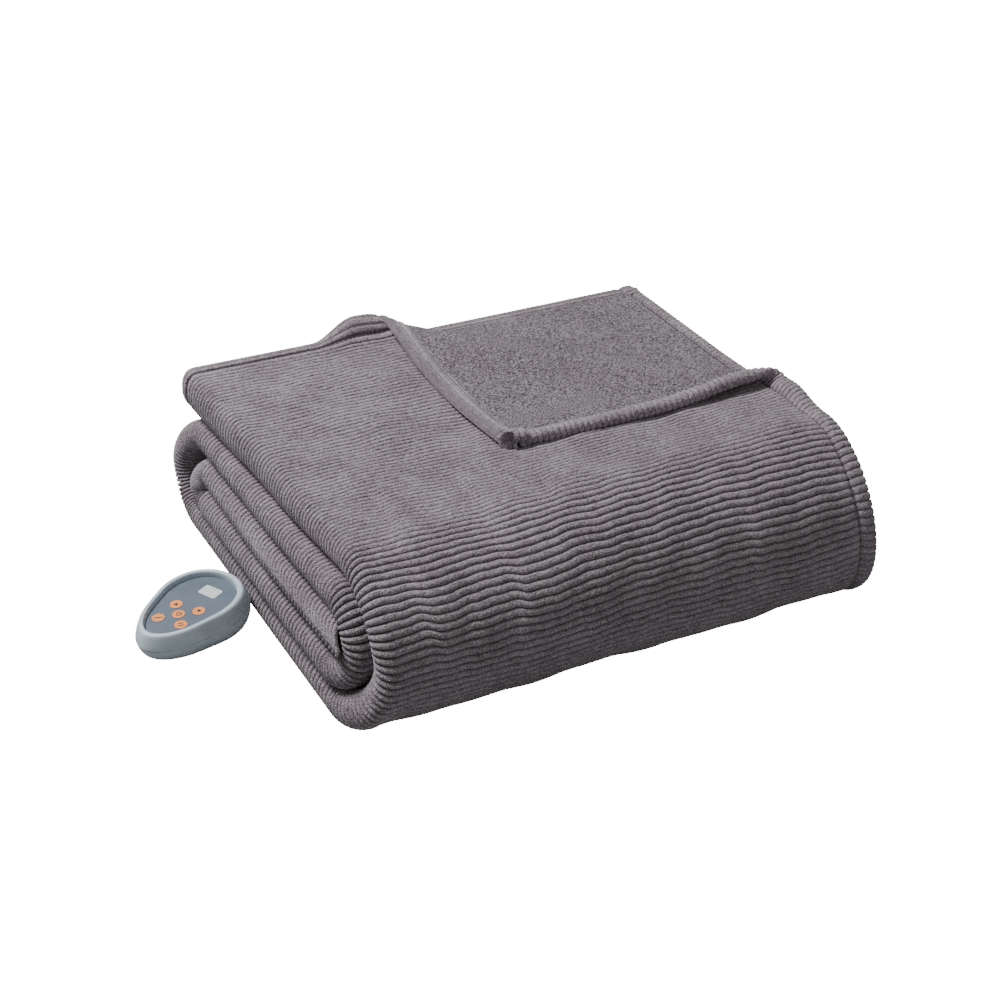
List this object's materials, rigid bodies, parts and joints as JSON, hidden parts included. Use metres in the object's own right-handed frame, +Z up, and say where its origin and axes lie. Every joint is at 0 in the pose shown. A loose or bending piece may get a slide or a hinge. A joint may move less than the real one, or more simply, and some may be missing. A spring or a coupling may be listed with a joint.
{
  "type": "electric blanket",
  "caption": "Ribbed plush heated blanket, folded and rolled flat for storage with one corner turned over, beside an egg-shaped hand controller with round keys and a display window.",
  "frame": {"origin": "middle of the folded blanket's underside, on the surface it rests on", "axes": "+X from the blanket's round folds to its hems, +Y from the front turn to the back, where the free hem lies on top, +Z up"},
  "size_m": [0.6574, 0.4821, 0.1848],
  "materials": {
    "plush": "ribbed plush pile, fleece on the reverse",
    "shell": "satin",
    "panel": "satin",
    "window": "clear gloss over a pale display",
    "key": "soft matte",
    "gland": "matte"
  },
  "bodies": {
    "rest": {"blanket": "plush", "controller_base": "shell", "controller_cover": "shell", "controller_panel": "panel", "controller_window": "window", "lead_gland": "gland"},
    "warmer": {"key_warmer": "key"},
    "cooler": {"key_cooler": "key"},
    "power": {"key_power": "key"},
    "timer": {"key_timer": "key"},
    "preheat": {"key_preheat": "key"}
  },
  "joints": [
    {"name": "warmer_press", "type": "slide", "parent": "rest", "child": "warmer", "axis": [0.0708, 0.0377, -0.9968], "range_m": [0, 0.001], "stiffness_N_per_m": 300},
    {"name": "cooler_press", "type": "slide", "parent": "rest", "child": "cooler", "axis": [0.0708, 0.0377, -0.9968], "range_m": [0, 0.001], "stiffness_N_per_m": 300},
    {"name": "power_press", "type": "slide", "parent": "rest", "child": "power", "axis": [0.0708, 0.0377, -0.9968], "range_m": [0, 0.001], "stiffness_N_per_m": 300},
    {"name": "timer_press", "type": "slide", "parent": "rest", "child": "timer", "axis": [0.0708, 0.0377, -0.9968], "range_m": [0, 0.001], "stiffness_N_per_m": 300},
    {"name": "preheat_press", "type": "slide", "parent": "rest", "child": "preheat", "axis": [0.0708, 0.0377, -0.9968], "range_m": [0, 0.001], "stiffness_N_per_m": 300}
  ]
}
